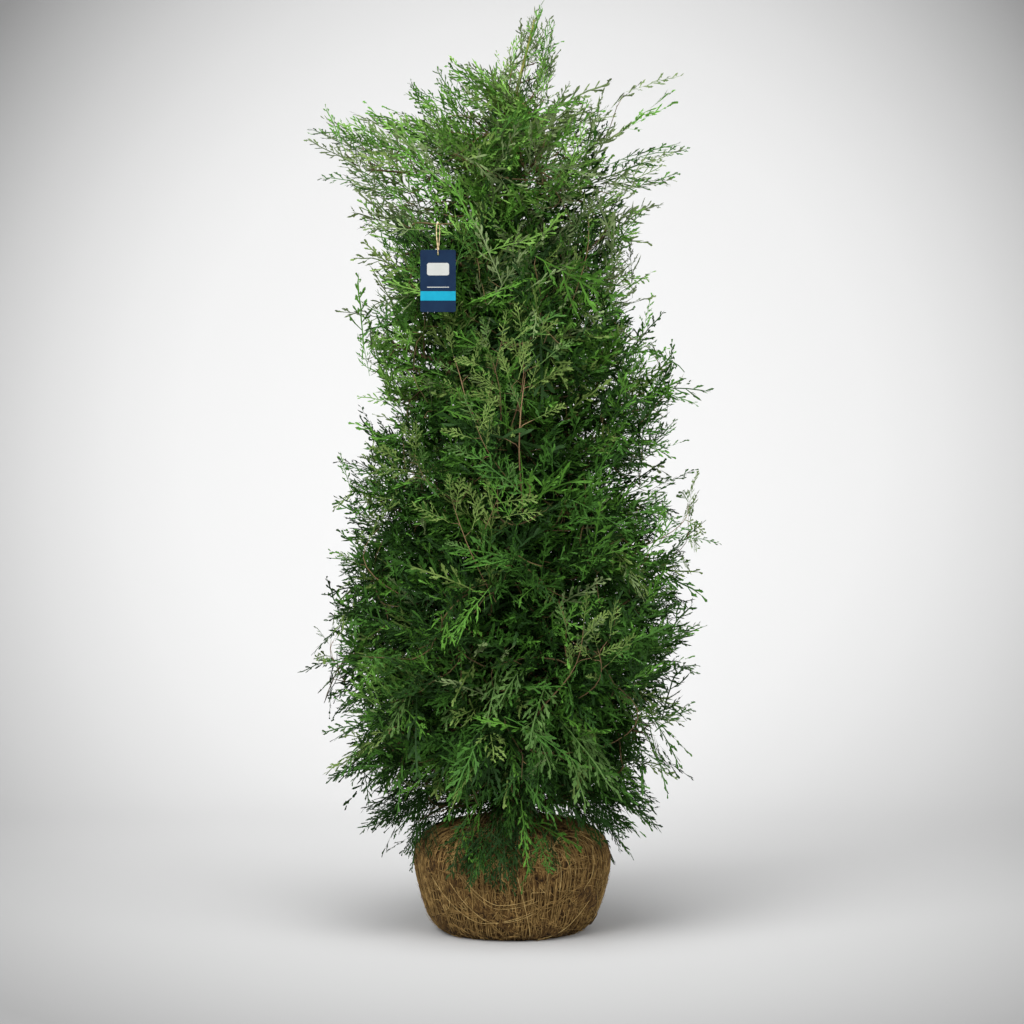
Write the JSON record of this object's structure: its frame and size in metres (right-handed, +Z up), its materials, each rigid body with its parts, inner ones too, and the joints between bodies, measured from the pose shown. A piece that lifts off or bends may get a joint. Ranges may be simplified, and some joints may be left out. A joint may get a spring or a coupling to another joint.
{
  "type": "conifer sapling with root ball",
  "caption": "Columnar evergreen conifer sapling with flat scale-leaved sprays, standing on a root ball netted in jute, with a plain hanging label.",
  "frame": {"origin": "middle of the flat underside of the root ball, on the ground", "axes": "+Z up along the trunk, +X to the right seen from the front, -Y towards the front, where the label hangs"},
  "size_m": [0.6343, 0.5473, 1.3951],
  "materials": {
    "netted_soil": "matte",
    "jute": "matte",
    "bark": "matte",
    "foliage": "matte",
    "fresh_foliage": "matte",
    "label_card": "satin",
    "label_string": "matte"
  },
  "bodies": {
    "root": {"bough_belly_1": "bark", "bough_belly_2": "bark", "bough_belly_3": "bark", "bough_belly_4": "bark", "bough_belly_5": "bark", "bough_middle_1": "bark", "bough_middle_2": "bark", "bough_middle_3": "bark", "bough_middle_4": "bark", "bough_middle_5": "bark", "bough_plume_1": "bark", "bough_plume_2": "bark", "bough_plume_3": "bark", "bough_plume_4": "bark", "bough_plume_5": "bark", "bough_waist_1": "bark", "bough_waist_2": "bark", "bough_waist_3": "bark", "bough_waist_4": "bark", "foliage_belly_1": "foliage", "foliage_belly_2": "foliage", "foliage_belly_3": "foliage", "foliage_belly_4": "foliage", "foliage_belly_5": "foliage", "foliage_leader": "fresh_foliage", "foliage_low_1": "foliage", "foliage_low_2": "foliage", "foliage_low_3": "foliage", "foliage_low_4": "foliage", "foliage_low_5": "foliage", "foliage_middle_1": "foliage", "foliage_middle_2": "foliage", "foliage_middle_3": "foliage", "foliage_middle_4": "foliage", "foliage_middle_5": "foliage", "foliage_neck_1": "fresh_foliage", "foliage_neck_2": "fresh_foliage", "foliage_neck_3": "fresh_foliage", "foliage_plume_1": "fresh_foliage", "foliage_plume_2": "fresh_foliage", "foliage_plume_3": "fresh_foliage", "foliage_plume_4": "fresh_foliage", "foliage_plume_5": "fresh_foliage", "foliage_shoulder_1": "foliage", "foliage_shoulder_2": "foliage", "foliage_shoulder_3": "foliage", "foliage_shoulder_4": "foliage", "foliage_skirt_1": "foliage", "foliage_skirt_2": "foliage", "foliage_skirt_3": "foliage", "foliage_skirt_4": "foliage", "foliage_waist_1": "foliage", "foliage_waist_2": "foliage", "foliage_waist_3": "foliage", "foliage_waist_4": "foliage", "jute_collar": "jute", "label_card": "label_card", "label_string": "label_string", "root_ball": "netted_soil", "trunk": "bark"}
  },
  "joints": []
}
